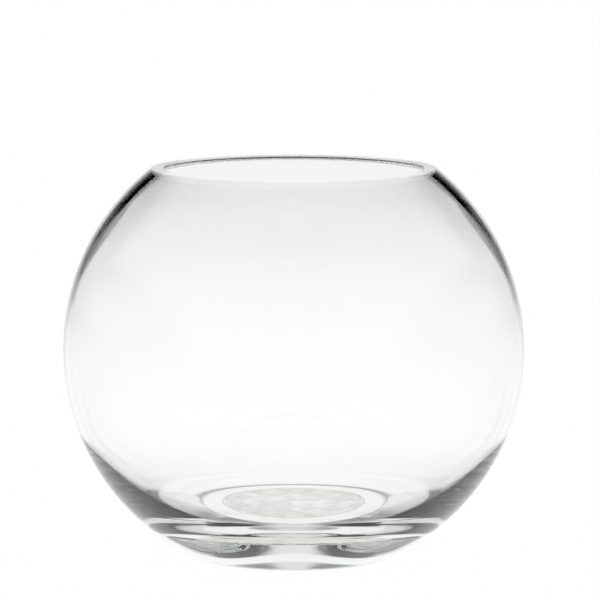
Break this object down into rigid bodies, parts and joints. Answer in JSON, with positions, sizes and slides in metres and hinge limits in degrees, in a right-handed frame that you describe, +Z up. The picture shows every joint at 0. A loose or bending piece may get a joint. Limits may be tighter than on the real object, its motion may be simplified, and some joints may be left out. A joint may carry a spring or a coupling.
{
  "type": "rose bowl vase",
  "caption": "Ball-shaped clear glass flower vase with a flat cut rim, a thick solid floor, a flat foot and a round blank label stuck in the recess under it.",
  "frame": {"origin": "on the table, under the middle of the foot", "axes": "+Z up along the bowl's axis; the bowl is round about it, so X and Y are free"},
  "size_m": [0.165, 0.165, 0.14],
  "materials": {
    "clear_glass": "clear, fire-polished",
    "label_paper": "matt"
  },
  "bodies": {
    "root": {"glass_bowl": "clear_glass", "base_label": "label_paper"}
  },
  "joints": []
}
